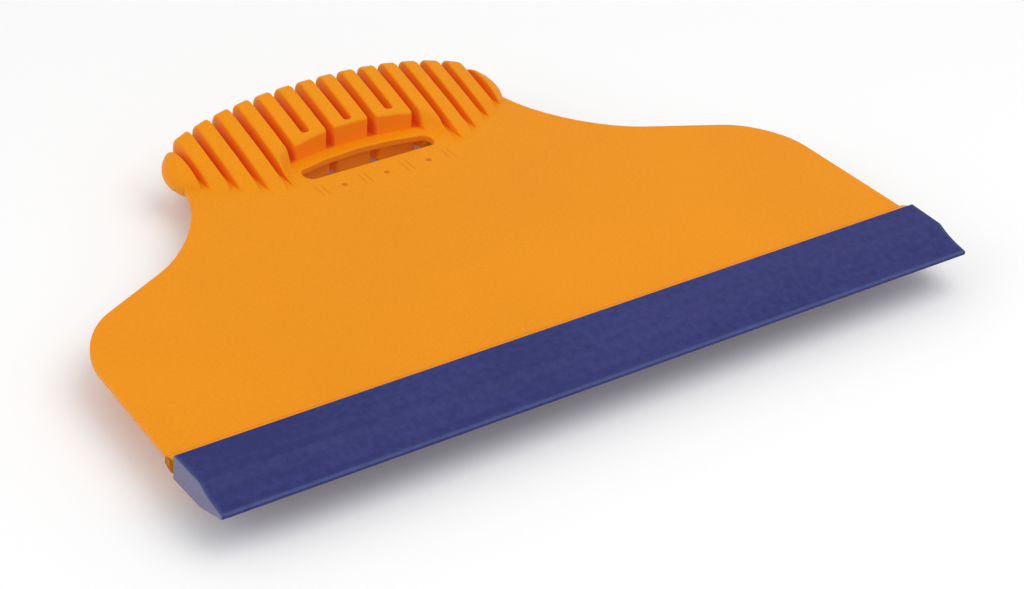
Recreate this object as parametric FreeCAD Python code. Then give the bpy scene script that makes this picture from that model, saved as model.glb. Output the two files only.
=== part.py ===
import FreeCAD, Part
import math
import os

# Hand squeegee applicator: a one-piece moulded plastic body (thin plate with a ribbed grip) and a
# soft lip moulded over the tongue on the plate's front edge.  All sizes in millimetres.
# While it is modelled, X runs along the lip, Y runs from the lip (negative) to the grip (positive),
# Z is the thickness, Y = 0 is the lip's rear face and Z = 0 is the plate's middle plane.
# place_on_ground() then moves everything so that the origin is the bottom centre of the whole box.

# Driving dimensions
LIP_LENGTH = 280.0
LIP_DEPTH = 27.4
LIP_THICKNESS = 8.4
PLATE_THICKNESS = 2.5
GRIP_REAR_Y = 153.4
GRIP_CREST_Z = 14.4
RIB_COUNT = 16
RIB_PITCH = 8.3
RIB_TOP_WIDTH = 5.1
RIB_BASE_WIDTH = 6.0
SLOT_LENGTH = 51.0
SLOT_FRONT_Y = 112.7
SLOT_REAR_Y = 122.6

HALF_LENGTH = LIP_LENGTH / 2
HALF_PLATE = PLATE_THICKNESS / 2
TALL = 40.0    # a height that clears every part of the grip
CLEAR = 10.0   # how far a cutting shape overshoots what it cuts


def vec(x, y, z=0.0):
    return FreeCAD.Vector(x, y, z)


def rounded_wire(corners):
    """Closed wire in the XY plane through corners (x, y, radius), with an arc at each rounded corner."""
    count = len(corners)
    edges = []
    run_start = None
    first_point = None
    for i in range(count):
        before = vec(*corners[i - 1][:2])
        here = vec(*corners[i][:2])
        after = vec(*corners[(i + 1) % count][:2])
        radius = corners[i][2]
        to_before = (before - here).normalize()
        to_after = (after - here).normalize()
        half_turn = math.acos(to_before.dot(to_after)) / 2
        reach = radius / math.tan(half_turn) if radius else 0.0
        arc_start = here + to_before * reach
        arc_end = here + to_after * reach
        if run_start is None:
            first_point = arc_start
        else:
            edges.append(Part.LineSegment(run_start, arc_start).toShape())
        if radius:
            bisector = (to_before + to_after).normalize()
            arc_middle = here + bisector * (radius / math.sin(half_turn) - radius)
            edges.append(Part.Arc(arc_start, arc_middle, arc_end).toShape())
        run_start = arc_end
    edges.append(Part.LineSegment(run_start, first_point).toShape())
    return Part.Wire(edges)


def mirrored_corners(right_side):
    """A whole outline from the corners of its right half, listed from front to rear."""
    left_side = [(-x, y, radius) for x, y, radius in reversed(right_side)]
    return right_side + left_side


def slab(wire, low_z, high_z):
    """Solid between two heights from a wire in the XY plane."""
    face = Part.Face(wire)
    face.translate(vec(0, 0, low_z))
    return face.extrude(vec(0, 0, high_z - low_z))


def along_x(section_yz, x_from, x_to):
    """Solid from a closed list of edges drawn in the YZ plane, pushed along X."""
    face = Part.Face(Part.Wire(section_yz))
    face.translate(vec(x_from, 0, 0))
    return face.extrude(vec(x_to - x_from, 0, 0))


def polygon_yz(points):
    corners = [vec(0, y, z) for y, z in points]
    corners.append(corners[0])
    return Part.makePolygon(corners).Edges


# Plate -----------------------------------------------------------------------------------------

SEAM_BEAD_HALF = 2.4     # half thickness of the bead that backs the lip
SEAM_BEAD_FLAT = 1.8
SEAM_BEAD_DEPTH = 4.4
SIDE_STEP = 1.0          # the plate's sides start this far inside the lip's ends

# Corners of the plate's right half, behind the bead: x, y and radius
SHOULDER_CORNER = (135.7, 68.4, 30.0)
NECK_CORNER = (70.0, 100.0, 58.0)
TAIL_CORNERS = [
    (63.6, 128.0, 0.0),
    (60.0, 138.0, 0.0),
    (54.0, 147.0, 6.0),
    (30.0, 151.2, 60.0),
]


def plate():
    """Thin plate: straight sides, large rounded shoulders, and a neck that runs under the grip."""
    outline = mirrored_corners([
        (HALF_LENGTH, 0.0, 0.0),
        (HALF_LENGTH, SEAM_BEAD_FLAT, SIDE_STEP),
        (HALF_LENGTH - SIDE_STEP, SEAM_BEAD_DEPTH + SIDE_STEP, 3 * SIDE_STEP),
        SHOULDER_CORNER,
        NECK_CORNER,
        *TAIL_CORNERS,
    ])
    return slab(rounded_wire(outline), -HALF_PLATE, HALF_PLATE)


def seam_bead():
    """Bead along the plate's front edge; the lip's rear face butts against it."""
    section = polygon_yz([
        (0.0, -SEAM_BEAD_HALF),
        (0.0, SEAM_BEAD_HALF),
        (SEAM_BEAD_FLAT, SEAM_BEAD_HALF),
        (SEAM_BEAD_DEPTH, HALF_PLATE),
        (SEAM_BEAD_DEPTH, -HALF_PLATE),
        (SEAM_BEAD_FLAT, -SEAM_BEAD_HALF),
    ])
    return along_x(section, -HALF_LENGTH, HALF_LENGTH)


TONGUE_DEPTH = 10.0
TONGUE_END_GAP = 6.0      # lip material left beyond each end of the tongue
TONGUE_HOLE_RADIUS = 2.0
TONGUE_HOLE_PITCH = 20.0
TONGUE_HOLE_COUNT = 13


def tongue():
    """Tongue inside the lip, pierced so that the lip's rubber keys through it."""
    half_width = HALF_LENGTH - TONGUE_END_GAP
    blade = Part.makeBox(2 * half_width, TONGUE_DEPTH, PLATE_THICKNESS,
                         vec(-half_width, -TONGUE_DEPTH, -HALF_PLATE))
    for i in range(TONGUE_HOLE_COUNT):
        x = (i - (TONGUE_HOLE_COUNT - 1) / 2) * TONGUE_HOLE_PITCH
        hole = Part.makeCylinder(TONGUE_HOLE_RADIUS, 2 * PLATE_THICKNESS,
                                 vec(x, -TONGUE_DEPTH / 2, -PLATE_THICKNESS))
        blade = blade.cut(hole)
    return blade


# Grip ------------------------------------------------------------------------------------------

TOE_MIDDLE_Y = 103.5       # where the ribs rise out of the plate, on the centre line
TOE_CURVE = 165.0          # the toe line falls back by x * x / TOE_CURVE
DOME_DROP = 660.0          # the dome falls by x * x / DOME_DROP to each side
DOME_MID = (130.0, 10.1)   # dome height part way up, on the centre line
CREST_BACK = 6.5           # the crest lies this far in front of the rear face
REAR_ROUND = 5.0           # rounding from the crest to the rear face
REAR_END_X = 54.0          # at this distance from the middle
REAR_END_BACK = 4.2        # the rear faces have fallen back this far


def toe_y(x):
    return TOE_MIDDLE_Y + x * x / TOE_CURVE


def rear_y(x):
    return GRIP_REAR_Y - REAR_END_BACK * abs(x / REAR_END_X) ** 3


def crest_z(x):
    return GRIP_CREST_Z - x * x / DOME_DROP


def rib_section(x):
    """Side profile of the ribs at a distance x from the middle, the same above and below the plate."""
    toe = (toe_y(x), HALF_PLATE)
    middle = (DOME_MID[0], DOME_MID[1] - x * x / DOME_DROP)
    rear = rear_y(x)
    crest = (rear - CREST_BACK, crest_z(x))
    low_corner = (rear, crest[1] - REAR_ROUND)
    # how far a quarter arc's middle stays short of the square corner that it rounds
    short_of_corner = REAR_ROUND * (1 - math.sqrt(0.5))
    round_middle = (rear - short_of_corner, crest[1] - short_of_corner)

    def half(side):
        def at(point):
            return vec(0, point[0], side * point[1])
        return [
            Part.Arc(at(toe), at(middle), at(crest)).toShape(),
            Part.Arc(at(crest), at(round_middle), at(low_corner)).toShape(),
        ]
    rear_face = Part.LineSegment(vec(0, rear, low_corner[1]), vec(0, rear, -low_corner[1])).toShape()
    toe_face = Part.LineSegment(vec(0, toe[0], -toe[1]), vec(0, toe[0], toe[1])).toShape()
    upper = half(1)
    lower = half(-1)
    return [toe_face, upper[0], upper[1], rear_face, lower[1], lower[0]]


def draft_hexagon(x, top_width, base_width):
    """Prism along Y whose sides lean in from the plate to the crest, above and below."""
    crest = GRIP_CREST_Z
    corners = []
    for z, width in ((-crest, top_width), (0, base_width), (crest, top_width)):
        corners.append((x + width / 2, z))
    for z, width in ((crest, top_width), (0, base_width), (-crest, top_width)):
        corners.append((x - width / 2, z))
    points = [vec(px, 0, pz) for px, pz in corners]
    points.append(points[0])
    face = Part.Face(Part.makePolygon(points))
    face.translate(vec(0, TOE_MIDDLE_Y - CLEAR, 0))
    return face.extrude(vec(0, GRIP_REAR_Y - TOE_MIDDLE_Y + 2 * CLEAR, 0))


def rib(x, top_width, base_width):
    """One solid rib through the plate, standing proud on both faces."""
    rough = along_x(rib_section(x), x - base_width / 2, x + base_width / 2)
    return rough.common(draft_hexagon(x, top_width, base_width))


LOBE_CENTRE = (52.5, 136.5)     # centre of the lobe's rounding in plan
LOBE_PLAN_RADIUS = 15.0
LOBE_FLANK_WIDTH = 8.6
LOBE_HALF_HEIGHT = 7.8


def end_lobe(side):
    """The outermost rib: its outer flank is rounded off in section and in plan."""
    inner_x = RIB_PITCH * (RIB_COUNT / 2 - 1) + (RIB_PITCH - RIB_TOP_WIDTH) / 2
    rough = along_x(rib_section(inner_x), side * inner_x, side * (inner_x + LOBE_PLAN_RADIUS))
    flank = Part.Ellipse(vec(0, 0, 0), LOBE_FLANK_WIDTH, LOBE_HALF_HEIGHT)
    flank_face = Part.Face(Part.Wire(flank.toShape()))
    flank_face.rotate(vec(0, 0, 0), vec(1, 0, 0), 90)
    flank_face.translate(vec(side * (inner_x - 1.0), GRIP_REAR_Y + CLEAR, 0))
    flank_prism = flank_face.extrude(vec(0, TOE_MIDDLE_Y - GRIP_REAR_Y - 2 * CLEAR, 0))
    plan = Part.makeCylinder(LOBE_PLAN_RADIUS, 2 * TALL, vec(side * LOBE_CENTRE[0], LOBE_CENTRE[1], -TALL))
    return rough.common(flank_prism).common(plan)


RECESS_HALF_LENGTH = 30.2
RECESS_FRONT_HALF = 25.5       # the recess is shorter in front, where it runs ahead of the ribs' toes
RECESS_UPPER_REAR_Y = 127.2
RECESS_LOWER_REAR_Y = 125.0
RECESS_END_DROP = 2.6          # the rear wall falls this far forward from the middle to the ends


def recess(rear_y_middle, low_z, high_z):
    """Finger recess: the grip is cut back to the plate around the slot, on one face."""
    outline = mirrored_corners([
        (RECESS_FRONT_HALF, TOE_MIDDLE_Y - 1.0, 4.0),
        (RECESS_HALF_LENGTH, SLOT_FRONT_Y, 10.0),
        (RECESS_HALF_LENGTH, rear_y_middle - RECESS_END_DROP, 8.0),
        (RIB_PITCH, rear_y_middle, 0.0),
    ])
    return slab(rounded_wire(outline), low_z, high_z)


SLOT_END_ROUND = 2.9
SLOT_END_DROP = 3.4      # the rear edge falls this far from the middle to the ends,
SLOT_ARCH = 0.9          # and this far to half way out
SLOT_ARCH_ROUND = 30.0


def slot():
    """The through slot: straight in front, slightly arched behind, with rounded ends."""
    half = SLOT_LENGTH / 2
    outline = mirrored_corners([
        (half, SLOT_FRONT_Y, SLOT_END_ROUND),
        (half, SLOT_REAR_Y - SLOT_END_DROP, SLOT_END_ROUND),
        (half / 2, SLOT_REAR_Y - SLOT_ARCH, SLOT_ARCH_ROUND),
        (1.0, SLOT_REAR_Y, 0.0),
    ])
    return slab(rounded_wire(outline), -TALL, TALL)


SHORT_GROOVE_FRONT_Y = 129.4


def grip():
    """Sixteen ribs in a row; the six in the middle are tied in pairs behind the finger recess."""
    solids = []
    for i in range(RIB_COUNT):
        x = (i - (RIB_COUNT - 1) / 2) * RIB_PITCH
        if i in (0, RIB_COUNT - 1):
            solids.append(end_lobe(math.copysign(1, x)))
        else:
            solids.append(rib(x, RIB_TOP_WIDTH, RIB_BASE_WIDTH))
    for pair in (-1, 0, 1):
        x = pair * 2 * RIB_PITCH
        tie = along_x(rib_section(x), x - RIB_PITCH / 2, x + RIB_PITCH / 2)
        keep = Part.makeBox(RIB_PITCH, SHORT_GROOVE_FRONT_Y - TOE_MIDDLE_Y + CLEAR, 2 * TALL,
                            vec(x - RIB_PITCH / 2, TOE_MIDDLE_Y - CLEAR, -TALL))
        solids.append(tie.common(keep))
    whole = solids[0].fuse(solids[1:])
    upper_recess = recess(RECESS_UPPER_REAR_Y, HALF_PLATE, TALL)
    lower_recess = recess(RECESS_LOWER_REAR_Y, -TALL, -HALF_PLATE)
    return whole.cut([upper_recess, lower_recess])


def body():
    whole = plate().fuse([seam_bead(), tongue(), grip()])
    return whole.cut(slot()).removeSplitter()


# Lip -------------------------------------------------------------------------------------------

LIP_TOP_FLAT = 14.2            # depth of the flat top, from the lip's rear face
LIP_UNDER_FLAT = 15.2          # depth of the flat underside; a straight chamfer runs on to the tip
LIP_TIP_HALF = 0.6
HOLLOW_START = (-17.6, 2.3)    # the two handles (y, z) that draw the hollow of the upper face
HOLLOW_END = (-21.5, 1.3)


def lip():
    """Soft lip: a thick flat-faced root, hollowed above and chamfered below to a thin wiping edge."""
    root = LIP_THICKNESS / 2
    hollow = Part.BezierCurve()
    hollow.setPoles([
        vec(0, -LIP_TOP_FLAT, root),
        vec(0, *HOLLOW_START),
        vec(0, *HOLLOW_END),
        vec(0, -LIP_DEPTH, LIP_TIP_HALF),
    ])

    def run(start, end):
        return Part.LineSegment(vec(0, *start), vec(0, *end)).toShape()
    section = [
        run((0, -root), (0, root)),
        run((0, root), (-LIP_TOP_FLAT, root)),
        hollow.toShape(),
        run((-LIP_DEPTH, LIP_TIP_HALF), (-LIP_DEPTH, -LIP_TIP_HALF)),
        run((-LIP_DEPTH, -LIP_TIP_HALF), (-LIP_UNDER_FLAT, -root)),
        run((-LIP_UNDER_FLAT, -root), (0, -root)),
    ]
    return along_x(section, -HALF_LENGTH, HALF_LENGTH).cut(tongue())


def place_on_ground(shape):
    middle_y = (GRIP_REAR_Y - LIP_DEPTH) / 2
    moved = shape.copy()
    moved.translate(vec(0, -middle_y, GRIP_CREST_Z))
    return moved


os.makedirs("parts", exist_ok=True)
for name, shape in (("body", body()), ("lip", lip())):
    placed = place_on_ground(shape)
    placed.exportStep("parts/" + name + ".step")
    box = placed.BoundBox
    print(name, "solids", len(placed.Solids), "valid", placed.isValid(), "volume", round(placed.Volume),
          "box", [round(v, 2) for v in (box.XMin, box.XMax, box.YMin, box.YMax, box.ZMin, box.ZMax)])
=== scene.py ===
import math

import bmesh
import bpy
from mathutils import Matrix, Vector
from mathutils.geometry import interpolate_bezier


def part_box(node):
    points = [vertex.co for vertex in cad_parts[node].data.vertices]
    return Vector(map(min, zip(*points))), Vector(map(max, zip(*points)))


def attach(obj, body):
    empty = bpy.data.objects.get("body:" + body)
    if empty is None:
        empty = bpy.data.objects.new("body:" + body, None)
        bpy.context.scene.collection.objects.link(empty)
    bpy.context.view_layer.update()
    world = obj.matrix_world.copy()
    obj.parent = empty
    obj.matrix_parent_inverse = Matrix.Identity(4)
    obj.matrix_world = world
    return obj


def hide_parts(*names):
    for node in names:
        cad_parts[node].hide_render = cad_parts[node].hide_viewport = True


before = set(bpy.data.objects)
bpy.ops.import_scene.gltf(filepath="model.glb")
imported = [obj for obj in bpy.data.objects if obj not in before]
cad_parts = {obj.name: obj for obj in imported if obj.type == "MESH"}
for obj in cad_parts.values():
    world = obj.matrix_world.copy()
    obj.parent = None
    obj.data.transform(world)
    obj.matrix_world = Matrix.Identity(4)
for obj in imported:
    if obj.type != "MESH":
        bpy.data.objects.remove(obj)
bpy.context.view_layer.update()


# The body: plate ---------------------------------------------------------------------------------
# The body is one injection moulding in satin orange plastic; its front is a thin plate with rounded
# shoulders and a slot.  It is modelled in millimetres from the seam with the lip, then brought into the
# frame.  The plate, bead and lobes are made as upper halves and mirrored downwards.

MM = 0.001
lip_low, lip_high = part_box("lip")
body_low, body_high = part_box("body")
middle_z = (body_low.z + body_high.z) / 2
into_frame = Matrix.Translation((0, lip_high.y, middle_z)) @ Matrix.Scale(MM, 4)

half_length = body_high.x / MM
half_plate = 1.25
plate_edge_round = 0.45
shoulder = (135.7, 68.4, 30)
neck = (70, 100, 58)
side_step = 0.2
slot_front = 112.7
slot_rear = 122.6
slot_half = 25.5
slot_end_round = 2.9
slot_end_drop = 3.4
slot_arch = 0.9
slot_arch_round = 30


def lay_outline(shell, corners):
    """Adds a flat face through corners (x, y, radius) and rounds each corner that has a radius."""
    verts = [shell.verts.new((x, y, 0)) for x, y, radius in corners]
    shell.faces.new(verts)
    for vert, (x, y, radius) in zip(verts, corners):
        if radius:
            sides = [edge.other_vert(vert).co - vert.co for edge in vert.link_edges]
            inside_angle = sides[0].angle(sides[1])
            bmesh.ops.bevel(shell, geom=[vert], offset=radius / math.tan(inside_angle / 2),
                            affect="VERTICES", segments=3 + int((math.pi - inside_angle) * 7),
                            profile=0.5, material=-1)


def push_up(shell, height):
    """Pushes the flat outline up into a block that stands on z = 0 and is open underneath."""
    pushed = bmesh.ops.extrude_face_region(shell, geom=shell.faces[:])
    top = [part for part in pushed["geom"] if isinstance(part, bmesh.types.BMVert)]
    bmesh.ops.translate(shell, verts=top, vec=(0, 0, height))
    underneath = [face for face in shell.faces if max(vert.co.z for vert in face.verts) < height / 2]
    bmesh.ops.delete(shell, geom=underneath, context="FACES_ONLY")
    bmesh.ops.recalc_face_normals(shell, faces=shell.faces[:])


def round_edges(shell, edges, radius, steps):
    bmesh.ops.bevel(shell, geom=edges, offset=radius, affect="EDGES", segments=steps, profile=0.5,
                    material=-1, clamp_overlap=False)


def sharp_edges(shell, least_angle):
    """Edges where two faces meet at more than an angle in degrees."""
    return [edge for edge in shell.edges
            if len(edge.link_faces) == 2 and edge.calc_face_angle() > math.radians(least_angle)]


def join_into(whole, shell):
    """Adds a finished shell to the bmesh of the whole moulding."""
    carrier = bpy.data.meshes.new("carrier")
    shell.to_mesh(carrier)
    whole.from_mesh(carrier)
    bpy.data.meshes.remove(carrier)
    shell.free()


body = bmesh.new()

plate = bmesh.new()
lay_outline(plate, [
    (0, 0.5, 0),
    (half_length - side_step, 0.5, 0),
    (half_length - side_step, 1.8, 0),
    (half_length - 1, 5.4, 3),
    shoulder,
    neck,
    (63.6, 128, 0),
    (60, 138, 0),
    (54, 147, 6),
    (30, 151.2, 60),
    (0, 151.2, 0),
    (0, slot_rear, 0),
    (slot_half / 2, slot_rear - slot_arch, slot_arch_round),
    (slot_half, slot_rear - slot_end_drop, slot_end_round),
    (slot_half, slot_front, slot_end_round),
    (0, slot_front, 0),
])
bmesh.ops.mirror(plate, geom=plate.verts[:] + plate.edges[:] + plate.faces[:],
                 merge_dist=0.001, axis="X")
push_up(plate, half_plate)
round_edges(plate, sharp_edges(plate, 60), plate_edge_round, 3)
join_into(body, plate)


# The body: bead ----------------------------------------------------------------------------------
# A bead runs along the plate's front edge, thicker than the plate, so that the lip's rear face has a
# square shoulder to butt against.  It is part of the same moulding.

bead_half = 2.4
bead_flat = 1.8
bead_depth = 4.4
bead_edge_round = 0.5

bead = bmesh.new()
bead_section = [
    (0, 0),
    (0, bead_half),
    (bead_flat, bead_half),
    (bead_depth, half_plate - 0.1),
    (bead_depth, 0),
]
bead.faces.new([bead.verts.new((-half_length, y, z)) for y, z in bead_section])
bead_end = bmesh.ops.extrude_face_region(bead, geom=bead.faces[:])
bmesh.ops.translate(bead, vec=(2 * half_length, 0, 0),
                    verts=[part for part in bead_end["geom"] if isinstance(part, bmesh.types.BMVert)])
bmesh.ops.delete(bead, context="FACES_ONLY",
                 geom=[face for face in bead.faces if max(vert.co.z for vert in face.verts) < 0.01])
bmesh.ops.recalc_face_normals(bead, faces=bead.faces[:])
bead_top_edges = [edge for edge in sharp_edges(bead, 20)
                  if min(vert.co.z for vert in edge.verts) > bead_half - 0.01
                  and abs(edge.verts[0].co.x - edge.verts[1].co.x) > half_length]
round_edges(bead, bead_top_edges, bead_edge_round, 4)
join_into(body, bead)


# The body: ribs ----------------------------------------------------------------------------------
# The grip is a dome on each face, cut right through to the plate by parallel grooves, which leaves
# sixteen ribs.  The six in the middle are tied in pairs behind the slot, where a finger recess is.

ribs = bmesh.new()
rib_count = 16
rib_pitch = 8.3
rib_half_base = 3
groove_draft = 0.034
rib_edge_round = 0.85
rear_round = 5
row_step = 1.5
toe_middle = 103.5
toe_curve = 165
toe_softness = 0.5
toe_sink = 0.1
dome_slope = 0.355
dome_fall = 0.0014
dome_side_curve = 660
grip_rear = (body_high.y - lip_high.y) / MM
grip_rear_drop = 4.2
grip_rear_drop_at = 54
grip_crest = (body_high.z - body_low.z) / 2 / MM
recess_rear = 127.4
lower_recess_rear = 124.8
wall_curve = 230
recess_end = 24
recess_end_depth = 11.4
recess_curl_start = 5.5
recess_curl_width = 4.5
recess_sink = 0.3
curl_reach = 31
block_corner_round = 1.4
short_groove = 129.4
short_groove_round = 1.1


def ease(share):
    """Eased step from 0 to 1."""
    share = min(max(share, 0), 1)
    return share * share * (3 - 2 * share)


def toe(x):
    """Where the grip starts, in front."""
    return toe_middle + x * x / toe_curve


def rear(x):
    """Where the ribs end, behind."""
    return grip_rear - grip_rear_drop * abs(x / grip_rear_drop_at) ** 3


def dome(x, y):
    """Height above the plate of the grip's outer skin, eased into the plate at the toe."""
    run = y - toe_middle
    rise = dome_slope * run - dome_fall * run * run - x * x / dome_side_curve
    rise = min(rise, y - toe(x))
    return (rise + math.hypot(rise, toe_softness)) / 2 - toe_sink


def beside_slot(x, y, wall):
    """0 over the recess round each end of the slot, easing up to 1 outside it."""
    away = math.hypot(max(abs(x) - recess_end, 0), max(y - wall + recess_end_depth, 0))
    return ease((away - recess_curl_start) / recess_curl_width)


def raise_ribs(corners, skin, columns=(), no_row=0):
    """Pushes the plan of a rib or a tied pair up to a skin, leans its walls and rounds its edges.

    Rows and columns of vertices let the top follow the skin; no row comes near y = no_row."""
    shell = bmesh.new()
    lay_outline(shell, corners)
    push_up(shell, grip_crest)
    front_y = min(y for x, y, radius in corners)
    rear_y = max(y for x, y, radius in corners)
    row = front_y + row_step
    while row < rear_y - rear_round - row_step:
        if abs(row - no_row) > 2:
            bmesh.ops.bisect_plane(shell, geom=shell.verts[:] + shell.edges[:] + shell.faces[:],
                                   plane_co=(0, row, 0), plane_no=(0, 1, 0))
        row += row_step
    for column in columns:
        bmesh.ops.bisect_plane(shell, geom=shell.verts[:] + shell.edges[:] + shell.faces[:],
                               plane_co=(column, 0, 0), plane_no=(1, 0, 0))
    for vert in shell.verts:
        if vert.co.z > 0:
            vert.co.z = half_plate + skin(vert.co.x, vert.co.y)
    bmesh.ops.recalc_face_normals(shell, faces=shell.faces[:])
    rear_edges = [edge for edge in sharp_edges(shell, 50)
                  if min(vert.co.z for vert in edge.verts) > 2
                  and max(face.normal.y for face in edge.link_faces) > 0.9
                  and abs(edge.verts[0].co.y - rear_y) < 3]
    round_edges(shell, rear_edges, rear_round, 8)
    for vert in shell.verts:
        from_groove = vert.co.x - rib_pitch * round(vert.co.x / rib_pitch)
        lean = groove_draft * (vert.co.z - half_plate) * min(1, (rib_pitch / 2 - abs(from_groove)) / 2)
        vert.co.x += math.copysign(lean, from_groove)
    rim = [edge for edge in sharp_edges(shell, 40)
           if max(vert.co.y for vert in edge.verts) > front_y + 0.5
           or max(vert.co.z for vert in edge.verts) > half_plate + 2]
    round_edges(shell, rim, rib_edge_round, 4)
    return shell


def single_rib(x, wall):
    """A plain rib; where the recess curls round the slot's end, its top stays just inside the plate."""
    left, right = x - rib_half_base, x + rib_half_base
    front_y = toe(x) - 5
    corners = [(left, front_y, 0), (right, front_y, 0), (right, rear(right), 0), (left, rear(left), 0)]
    columns = [x + step for step in (-1.4, -0.7, 0, 0.7, 1.4)] if abs(x) < curl_reach else ()

    def skin(x, y):
        share = beside_slot(x, y, wall)
        return dome(x, y) * share - recess_sink * (1 - share)
    return raise_ribs(corners, skin, columns)


def tied_pair(x, wall):
    """Two ribs tied by a block in front; the block's front wall bows back to y = wall in the middle."""
    left, right = x - rib_pitch / 2 - rib_half_base, x + rib_pitch / 2 + rib_half_base
    groove = rib_pitch / 2 - rib_half_base
    corners = [
        (left, wall - left * left / wall_curve, block_corner_round),
        (x, wall - x * x / wall_curve, 0),
        (right, wall - right * right / wall_curve, block_corner_round),
        (right, rear(right), 0),
        (x + groove, rear(x + groove), 0),
        (x + groove, short_groove, short_groove_round),
        (x - groove, short_groove, short_groove_round),
        (x - groove, rear(x - groove), 0),
        (left, rear(left), 0),
    ]
    return raise_ribs(corners, dome, no_row=short_groove)


for face, wall in ((1, recess_rear), (-1, lower_recess_rear)):
    shells = [tied_pair(pair * 2 * rib_pitch, wall) for pair in (-1, 0, 1)]
    for number in range(3, rib_count // 2 - 1):
        shells.append(single_rib((number + 0.5) * rib_pitch, wall))
        shells.append(single_rib(-(number + 0.5) * rib_pitch, wall))
    for shell in shells:
        rim = [edge for edge in shell.edges if edge.is_boundary]
        for edge in rim:
            edge.smooth = False
        bmesh.ops.holes_fill(shell, edges=rim, sides=0)
        bmesh.ops.scale(shell, verts=shell.verts[:], vec=(1, 1, face))
        join_into(ribs, shell)


# The body: end lobes -----------------------------------------------------------------------------
# The outermost ribs are rounded off like lobes, in plan and in section, so that nothing digs into
# the palm.

lobe_centre = Vector((52.5, 136, 0))
lobe_reach = 13
lobe_half_depth = 14.5
lobe_height = 7.8
lobe_tilt = 0.13
lobe_inner = rib_pitch * (rib_count / 2 - 1) + rib_pitch / 2 - rib_half_base


def end_lobe(side):
    """The upper half of a stretched, tilted ball with its poles along X, cut off at the last groove."""
    shell = bmesh.new()
    bmesh.ops.create_uvsphere(shell, u_segments=40, v_segments=14, radius=1,
                              matrix=Matrix.Rotation(math.radians(90), 4, "Y"))
    bmesh.ops.scale(shell, verts=shell.verts[:], vec=(lobe_reach, lobe_half_depth, lobe_height))
    for vert in shell.verts:
        vert.co.z *= 1 + lobe_tilt * vert.co.y / lobe_height
    bmesh.ops.translate(shell, verts=shell.verts[:], vec=lobe_centre)
    bmesh.ops.bisect_plane(shell, geom=shell.verts[:] + shell.edges[:] + shell.faces[:],
                           plane_co=(0, 0, 0), plane_no=(0, 0, 1), clear_inner=True)
    cut = bmesh.ops.bisect_plane(shell, geom=shell.verts[:] + shell.edges[:] + shell.faces[:],
                                 plane_co=(lobe_inner, 0, 0), plane_no=(1, 0, 0), clear_inner=True)
    rim = [part for part in cut["geom_cut"] if isinstance(part, bmesh.types.BMEdge)]
    bmesh.ops.contextual_create(shell, geom=rim)
    round_edges(shell, rim, rib_edge_round, 4)
    if side < 0:
        bmesh.ops.scale(shell, verts=shell.verts[:], vec=(-1, 1, 1))
    return shell


for side in (-1, 1):
    join_into(body, end_lobe(side))

bmesh.ops.mirror(body, geom=body.verts[:] + body.edges[:] + body.faces[:], merge_dist=0.001, axis="Z")
join_into(body, ribs)
bmesh.ops.recalc_face_normals(body, faces=body.faces[:])
bmesh.ops.transform(body, matrix=into_frame, verts=body.verts[:])


# The body: plastic -------------------------------------------------------------------------------
# Satin orange plastic coloured right through, with a fine mottle, a faint orange-peel skin and slightly
# uneven gloss; the groove and recess walls are painted redder, and darker red deep in the grooves: painted
# shade and painted light bounced between the walls.


class Value:
    """A node's output that arithmetic works on: every operation adds its Math node."""

    def __init__(self, socket):
        self.socket = socket

    def node(self, kind, settings, sockets, output=0):
        """Adds a node of any kind: its settings first, then what goes into its sockets."""
        tree = self.socket.id_data
        made = tree.nodes.new(kind)
        for name, setting in settings.items():
            setattr(made, name, setting)
        for name, given in sockets.items():
            if isinstance(given, Value):
                tree.links.new(given.socket, made.inputs[name])
            else:
                made.inputs[name].default_value = given
        return Value(made.outputs[output])

    def maths(self, operation, *others):
        """This value and others through one Math node."""
        return self.node("ShaderNodeMath", {"operation": operation}, dict(enumerate((self, *others))))

    def __add__(self, other):
        return self.maths("ADD", other)

    __radd__ = __add__

    def __mul__(self, other):
        return self.maths("MULTIPLY", other)

    __rmul__ = __mul__

    def __truediv__(self, other):
        return self.maths("DIVIDE", other)

    def __sub__(self, other):
        return self.maths("SUBTRACT", other)

    def __rsub__(self, other):
        return self * -1 + other

    def eased(self, low, high):
        """Eased step from 0 at low to 1 at high."""
        return self.node("ShaderNodeMapRange", {"interpolation_type": "SMOOTHSTEP"},
                         {"Value": self, "From Min": low, "From Max": high})

    def noise(self, scale, detail=3.0, roughness=0.5):
        """Noise read at this place."""
        return self.node("ShaderNodeTexNoise", {}, {"Vector": self, "Scale": scale, "Detail": detail,
                                                    "Roughness": roughness})

    def mixed(self, first, second):
        """A colour between two, by this value."""
        return self.node("ShaderNodeMix", {"data_type": "RGBA"}, {0: self, 6: first, 7: second}, 2)

    def axis(self, name):
        """One axis of this place."""
        return self.node("ShaderNodeSeparateXYZ", {}, {0: self}, name)


def new_finish(name):
    """A material with its Principled shader and the object's own coordinates as a Value."""
    finish = bpy.data.materials.new(name)
    finish.use_nodes = True
    shader = finish.node_tree.nodes["Principled BSDF"]
    place = finish.node_tree.nodes.new("ShaderNodeTexCoord").outputs["Object"]
    return finish, shader, Value(place)


def drive(shader, socket, value):
    """Feeds a shader's socket with a value that varies over the surface."""
    shader.id_data.links.new(value.socket, shader.inputs[socket])


body_plastic, shader, place = new_finish("body_plastic")
shader.inputs["Specular IOR Level"].default_value = 0.11
across = place.axis("X") / MM
along = (place.axis("Y") - lip_high.y) / MM
height = (place.axis("Z") - middle_z) / MM
above = height.maths("ABSOLUTE")
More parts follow.
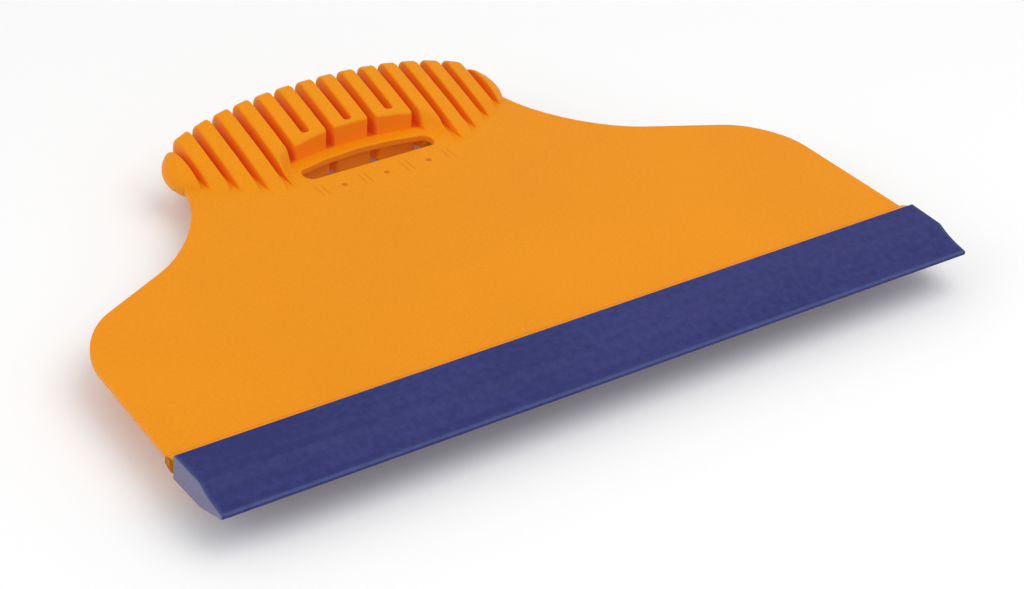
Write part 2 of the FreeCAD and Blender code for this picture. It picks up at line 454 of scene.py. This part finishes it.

# where the painted groove shade goes: on the walls and floors of the grooves and on the recess's walls,
# more so the deeper they lie; in line with the short grooves the painted shade starts only past the block's
# solid front
block_front_depth = 3.5
from_groove = across.maths("PINGPONG", rib_pitch / 2)
from_short = across.maths("PINGPONG", rib_pitch)
outward = across.maths("ABSOLUTE")
run = along - toe_middle
dome_top = half_plate + dome_slope * run - dome_fall * run * run - across * across / dome_side_curve
under_dome = dome_top - above
from_rear = grip_rear - grip_rear_drop * (outward / grip_rear_drop_at).maths("POWER", 3) - along
level = place.node("ShaderNodeNewGeometry", {}, {}, "Normal").axis("Z").maths("ABSOLUTE").eased(0.25, 0.5)
in_recess = 1 - outward.eased(26, 29)
wall_middle = lower_recess_rear + height.eased(-0.1, 0.1) * (recess_rear - lower_recess_rear)
wall_line = wall_middle - outward * outward / wall_curve
at_short_groove = 1 - from_short.eased(3, 4)
behind_recess = (along - block_front_depth * at_short_groove - wall_line).eased(-0.4, 0.2)
in_grip = (1 - outward.eased(59.4, 60)) * from_rear.eased(1, 8) * run.eased(-1, 1)
groove_floor = level * (1 - from_groove.eased(1.2, 1.5)) * (1 - in_recess * (1 - behind_recess))
on_wall = ((1 - level) * under_dome.eased(0, 1.1) + groove_floor * under_dome.eased(2.5, 6)) * in_grip
deep = on_wall * under_dome.eased(2.2, 5.5) * (1 - from_groove.eased(1.6, 2.2)) * above.eased(1.1, 1.3)
deep = deep * (1 - in_recess * (1 - behind_recess))

# what the mould's groove blades left in the ledge: two fine lines ahead of each long groove in the
# recess, and a small pit ahead of each short one; the bump dents them, and their darker colour is painted
# shade in the dents
trace_half_gap = 1.1
pit_y = 104.8
from_trace = (rib_pitch - from_short - trace_half_gap).maths("ABSOLUTE")
on_ledge = 1 - above.eased(1.4, 1.8)
trace = (1 - from_trace.eased(0.1, 0.45)) * along.eased(100.5, 103) * (1 - along.eased(107, 109.5))
pit = 1 - (from_short * from_short + (along - pit_y) * (along - pit_y)).eased(0.3, 1.2)
mark = (trace * 0.35 + pit) * in_recess * on_ledge

cloud = place.noise(18, 4.0)
speck = place.noise(900, 2.0)
mottle = (cloud * 0.4 + speck * 0.6).eased(0.35, 0.65)
body_colour = mottle.mixed((0.80, 0.268, 0.002, 1), (0.85, 0.286, 0.003, 1))
# painted shade and bounced light: groove and recess walls redder, and darker red deep in the grooves
body_colour = on_wall.mixed(body_colour, (0.84, 0.225, 0.008, 1))
body_colour = deep.mixed(body_colour, (0.76, 0.105, 0.012, 1))
# painted shade: the traces and pits darker red, for the shade in their dents
body_colour = (mark * 0.75).mixed(body_colour, (0.66, 0.11, 0.006, 1))
drive(shader, "Base Color", body_colour)
# a weak glow from the walls stands for light that soaks through the plastic
shader.inputs["Emission Strength"].default_value = 1
drive(shader, "Emission Color", (on_wall * (1 - level)).mixed((0, 0, 0, 1), (0.10, 0.018, 0.002, 1)))
drive(shader, "Roughness", 0.36 + cloud * 0.08 + speck * 0.06)
orange_peel = place.noise(420, 2.0) * 0.06 + place.noise(1600, 1.0) * 0.04
skin = place.node("ShaderNodeBump", {}, {"Strength": 1.0, "Distance": 0.0003, "Height": orange_peel - mark})
drive(shader, "Normal", skin)

body_mesh = bpy.data.meshes.new("moulded_body")
body.to_mesh(body_mesh)
body.free()
for polygon in body_mesh.polygons:
    polygon.use_smooth = True
body_mesh.materials.append(body_plastic)
moulded_body = bpy.data.objects.new("moulded_body", body_mesh)
bpy.context.scene.collection.objects.link(moulded_body)
weighting = moulded_body.modifiers.new("weighted_normals", "WEIGHTED_NORMAL")
weighting.keep_sharp = True
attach(moulded_body, "root")
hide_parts("body")


# The lip -----------------------------------------------------------------------------------------
# A soft lip in dark blue rubber, moulded over the body's pierced tongue so that it can't pull off.  Its
# root is a flat-faced bar; the front is hollowed above and chamfered below, down to a thin wiping edge.

lip_half = (lip_high.z - lip_low.z) / 2 / MM
lip_depth = (lip_high.y - lip_low.y) / MM
lip_flat = 14.2
lip_under_flat = 15.2
lip_tip_half = 0.6
hollow_start = (0, -17.6, 2.3)
hollow_end = (0, -21.5, 1.3)
tip_corner_round = 0.9
lip_shoulder_round = 0.7
lip_edge_round = 0.55

lip = bmesh.new()
hollow = interpolate_bezier((0, -lip_flat, lip_half), hollow_start, hollow_end,
                            (0, -lip_depth, lip_tip_half), 10)
lip_section = [
    Vector((0, 0, -lip_half)),
    Vector((0, 0, lip_half)),
    *hollow,
    Vector((0, -lip_depth, -lip_tip_half)),
    Vector((0, -lip_under_flat, -lip_half)),
]
lip.faces.new([lip.verts.new(point) for point in lip_section])
bmesh.ops.translate(lip, verts=lip.verts[:], vec=(-half_length, 0, 0))
lip_end = bmesh.ops.extrude_face_region(lip, geom=lip.faces[:])
bmesh.ops.translate(lip, vec=(2 * half_length, 0, 0),
                    verts=[part for part in lip_end["geom"] if isinstance(part, bmesh.types.BMVert)])
bmesh.ops.recalc_face_normals(lip, faces=lip.faces[:])


def lip_edges(is_chosen):
    """The lip's edges whose two ends both pass a test."""
    return [edge for edge in lip.edges if all(is_chosen(vert.co) for vert in edge.verts)]


tip_corners = [edge for edge in lip_edges(lambda point: point.y < 0.1 - lip_depth)
               if abs(edge.verts[0].co.z - edge.verts[1].co.z) > lip_tip_half]
round_edges(lip, tip_corners, tip_corner_round, 4)
shoulders = [edge for edge in lip_edges(lambda point: abs(point.y + lip_flat) < 0.01)
             if abs(edge.verts[0].co.x - edge.verts[1].co.x) > half_length]
round_edges(lip, shoulders, lip_shoulder_round, 4)
round_edges(lip, sharp_edges(lip, 26), lip_edge_round, 4)
bmesh.ops.transform(lip, matrix=into_frame, verts=lip.verts[:])

lip_rubber, shader, place = new_finish("lip_rubber")
shader.inputs["Specular IOR Level"].default_value = 0.25
across = place.axis("X").maths("ABSOLUTE") / MM
along = (place.axis("Y") - lip_high.y) / MM
flow = place.node("ShaderNodeMapping", {}, {"Vector": place, "Scale": (6, 260, 260)}).noise(1.0, 4.0, 0.6)
cloud = place.noise(25, 4.0)
grain = place.noise(1100, 2.0)
blotch = place.noise(420, 3.0)
mottle = (cloud * 0.3 + flow * 0.3 + blotch * 0.4).eased(0.38, 0.62)
rubber = mottle.mixed((0.013, 0.018, 0.125, 1), (0.027, 0.031, 0.165, 1))
# painted highlight: paler along the wiping edge and along the ends' upper edges, only where the face looks
# upwards, broken up by blotches
facing_up = place.node("ShaderNodeNewGeometry", {}, {}, "Normal").axis("Z").eased(0.3, 0.8)
near_tip = 1 - along.eased(0.5 - lip_depth, 1.8 - lip_depth)
near_edge = near_tip + across.eased(half_length - 1.8, half_length - 0.3) * 0.8
edge_highlight = near_edge.maths("MINIMUM", 1) * facing_up * (0.5 + blotch * 0.8)
# painted highlight on the upward-facing wiping edge and end edges
rubber = (edge_highlight * 0.8).mixed(rubber, (0.060, 0.085, 0.22, 1))
# painted light: the lip's end faces paler grey-violet, for the light they catch from the side
end_face_light = across.eased(half_length - 0.45, half_length - 0.1)
rubber = (end_face_light * (0.6 + grain * 0.4)).mixed(rubber, (0.20, 0.185, 0.29, 1))
drive(shader, "Base Color", rubber)
drive(shader, "Roughness", 0.46 + cloud * 0.12 + edge_highlight * 0.1)
drive(shader, "Normal", place.node("ShaderNodeBump", {}, {"Strength": 0.4, "Distance": 0.0001,
                                                          "Height": grain * 0.6 + flow * 0.4}))

lip_mesh = bpy.data.meshes.new("rubber_lip")
lip.to_mesh(lip_mesh)
lip.free()
for polygon in lip_mesh.polygons:
    polygon.use_smooth = True
lip_mesh.materials.append(lip_rubber)
rubber_lip = bpy.data.objects.new("rubber_lip", lip_mesh)
bpy.context.scene.collection.objects.link(rubber_lip)
weighting = rubber_lip.modifiers.new("weighted_normals", "WEIGHTED_NORMAL")
weighting.keep_sharp = True
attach(rubber_lip, "root")
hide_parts("lip")


# The studio --------------------------------------------------------------------------------------
# A plain white table, an even white surround, one large soft lamp above the lip, and a weaker one low
# beyond the left end.

floor_mesh = bpy.data.meshes.new("floor")
floor_plan = bmesh.new()
bmesh.ops.create_grid(floor_plan, x_segments=1, y_segments=1, size=3)
floor_plan.to_mesh(floor_mesh)
floor_plan.free()
floor_white, shader = new_finish("floor_white")[:2]
shader.inputs["Base Color"].default_value = (0.9, 0.9, 0.9, 1)
shader.inputs["Roughness"].default_value = 0.9
shader.inputs["Emission Color"].default_value = (1, 1, 1, 1)
shader.inputs["Emission Strength"].default_value = 0.06
floor_mesh.materials.append(floor_white)
floor = bpy.data.objects.new("floor", floor_mesh)
bpy.context.scene.collection.objects.link(floor)

surround = bpy.data.worlds.new("surround")
surround.use_nodes = True
backdrop = surround.node_tree.nodes["Background"]
up = Value(surround.node_tree.nodes.new("ShaderNodeTexCoord").outputs["Generated"]).axis("Z")
drive(backdrop, "Color", up.eased(-0.2, 0.9).mixed((0.8, 0.8, 0.8, 1), (1, 1, 1, 1)))
backdrop.inputs["Strength"].default_value = 0.75
bpy.context.scene.world = surround


def soft_lamp(name, place, energy):
    """A large round lamp that shines from a place towards the object."""
    lamp_data = bpy.data.lights.new(name, "AREA")
    lamp_data.shape = "DISK"
    lamp_data.size = 0.9
    lamp_data.energy = energy
    lamp = bpy.data.objects.new(name, lamp_data)
    turn = place.to_track_quat("Z", "Y").to_matrix().to_4x4()
    lamp.matrix_world = Matrix.Translation(place) @ turn
    bpy.context.scene.collection.objects.link(lamp)


soft_lamp("key_lamp", Vector((0.25, -0.3, 0.9)), 3.2)
soft_lamp("fill_lamp", Vector((-0.95, 0.1, 0.4)), 2.2)
bpy.context.scene.view_settings.view_transform = "Standard"

camera_data = bpy.data.cameras.new("camera")
camera_data.lens = 98.4
camera_data.sensor_width = 36
camera = bpy.data.objects.new("camera", camera_data)
camera.matrix_world = (Matrix.Translation((-0.45205, -0.61666, 0.49556))
                       @ Matrix.Rotation(math.radians(-37.68), 4, "Z")
                       @ Matrix.Rotation(math.radians(90 - 33.33), 4, "X")
                       @ Matrix.Rotation(math.radians(4.70), 4, "Z"))
bpy.context.scene.collection.objects.link(camera)
bpy.context.scene.camera = camera
